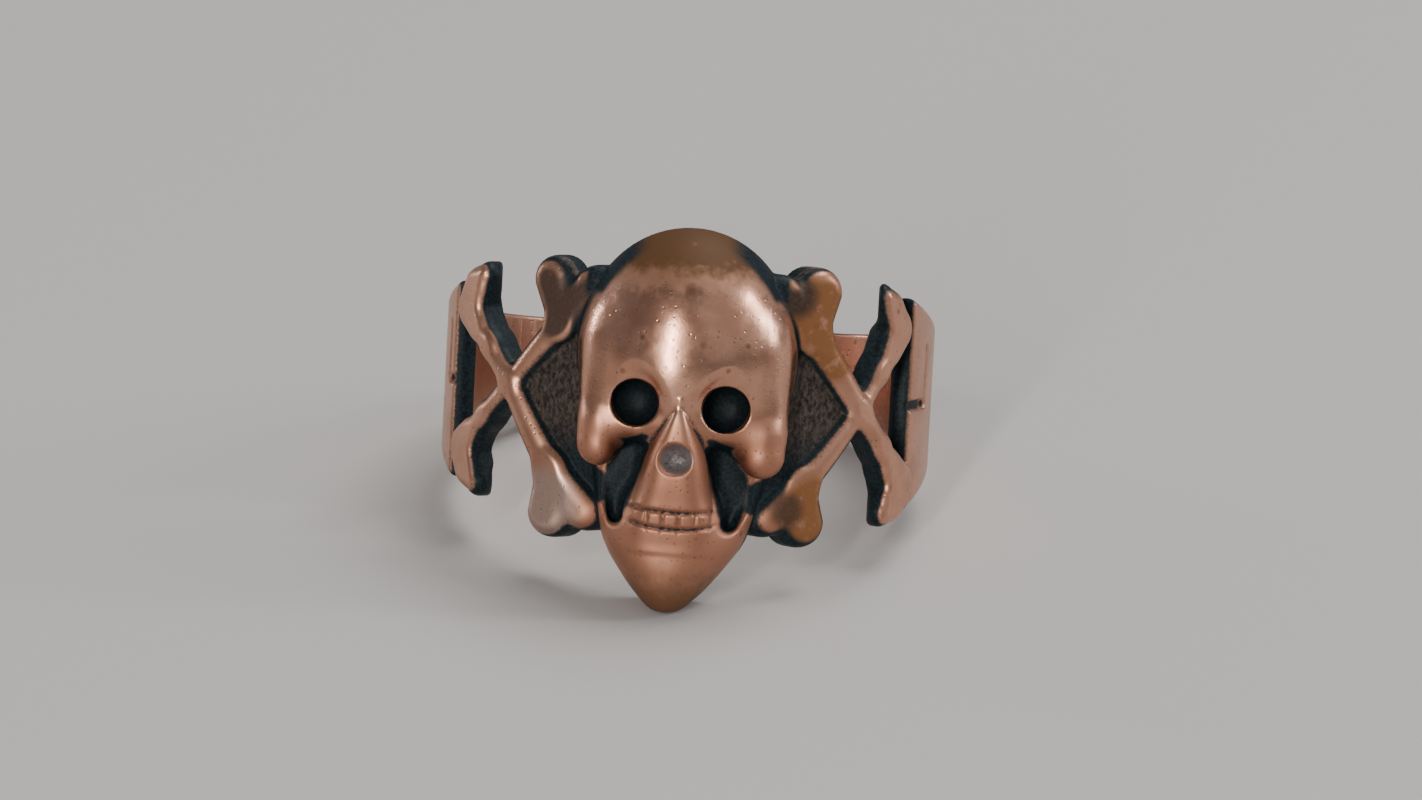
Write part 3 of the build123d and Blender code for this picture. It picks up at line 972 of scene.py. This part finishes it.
# The camera: its rise, turn and roll in degrees, its distance, drop and shift in millimetres,
# and its focal length, its picture's width and the ring's middle in pixels of the photograph
CAMERA_ANGLES = (5.1, 1.3, 3.1)
CAMERA_DISTANCE = 250.0
CAMERA_DROP = 0.70
CAMERA_SHIFT = 0.07
FOCAL_PX = 5500.0
WIDE_PX = 1422
MIDDLE_PX = 689
SENSOR_WIDTH = 36.0


def lay_floor():
    """The pale table that the ring lies on."""
    size = 0.9
    mesh = bpy.data.meshes.new("table_top")
    corners = [(-size, -size, 0), (size, -size, 0), (size, size, 0), (-size, size, 0)]
    mesh.from_pydata(corners, [], [(0, 1, 2, 3)])
    floor = bpy.data.objects.new("table_top", mesh)
    bpy.context.scene.collection.objects.link(floor)
    material = bpy.data.materials.new("pale_stone")
    material.use_nodes = True
    shader = material.node_tree.nodes["Principled BSDF"]
    shader.inputs["Base Color"].default_value = TABLE_COLOUR
    shader.inputs["Roughness"].default_value = 0.75
    mesh.materials.append(material)


def soft_light(name, turn, rise, distance, size, power, colour):
    """A soft panel that faces the ring, from an angle round it and an angle above the table."""
    turn, rise = math.radians(turn), math.radians(rise)
    aim = Vector((0, 0, 0.007))
    level = math.cos(rise)
    way = Vector((math.sin(turn) * level, -math.cos(turn) * level, math.sin(rise)))
    data = bpy.data.lights.new(name, "AREA")
    data.shape = "RECTANGLE"
    data.size, data.size_y = size
    data.energy = power
    data.color = colour
    lamp = bpy.data.objects.new(name, data)
    bpy.context.scene.collection.objects.link(lamp)
    lamp.location = aim + way * distance
    lamp.rotation_euler = (-way).to_track_quat("-Z", "Y").to_euler()


def set_lights():
    for light in LIGHTS:
        soft_light(*light)
    world = bpy.data.worlds.new("room")
    world.use_nodes = True
    background = world.node_tree.nodes["Background"]
    background.inputs["Color"].default_value = ROOM_COLOUR
    background.inputs["Strength"].default_value = ROOM_STRENGTH
    bpy.context.scene.world = world


def turned_pair(first, second, angle):
    """Two square directions, turned in their own plane from the first towards the second."""
    share, other = math.cos(angle), math.sin(angle)
    return first * share + second * other, second * share - first * other


def set_camera():
    """The photograph's view: nearly along the ring's plane, with the picture turned a little."""
    rise, turn, roll = (math.radians(angle) for angle in CAMERA_ANGLES)
    ahead = Vector(
        (-math.sin(turn) * math.cos(rise), math.cos(turn) * math.cos(rise), -math.sin(rise))
    )
    right = Vector((math.cos(turn), math.sin(turn), 0))
    up = right.cross(ahead)
    place = ahead * -CAMERA_DISTANCE - up * CAMERA_DROP + right * CAMERA_SHIFT
    right, up = turned_pair(right, up, roll)
    ahead, right = turned_pair(ahead, right, math.atan((WIDE_PX / 2 - MIDDLE_PX) / FOCAL_PX))
    data = bpy.data.cameras.new("photo_camera")
    data.sensor_width = SENSOR_WIDTH
    data.lens = SENSOR_WIDTH * FOCAL_PX / WIDE_PX
    data.clip_start = 0.01
    data.clip_end = 10
    camera = bpy.data.objects.new("photo_camera", data)
    bpy.context.scene.collection.objects.link(camera)
    turned = Matrix((right, up, -ahead)).transposed().to_4x4()
    turned.translation = place * MM
    rest = Matrix.Translation([MM * value for value in REST_SHIFT]) @ Matrix.Rotation(-LEAN, 4, "X")
    camera.matrix_world = rest @ turned
    bpy.context.scene.camera = camera


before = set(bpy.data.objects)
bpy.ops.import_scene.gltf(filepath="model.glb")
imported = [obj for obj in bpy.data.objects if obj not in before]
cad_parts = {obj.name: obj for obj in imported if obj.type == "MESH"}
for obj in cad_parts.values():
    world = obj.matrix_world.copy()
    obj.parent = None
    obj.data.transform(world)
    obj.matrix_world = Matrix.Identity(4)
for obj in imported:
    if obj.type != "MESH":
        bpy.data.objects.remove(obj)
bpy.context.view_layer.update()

ring = sculpt_casting()
ring.data.materials.append(copper_material())
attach(ring, "root")
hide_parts("skull_ring")

lay_floor()
set_lights()
set_camera()
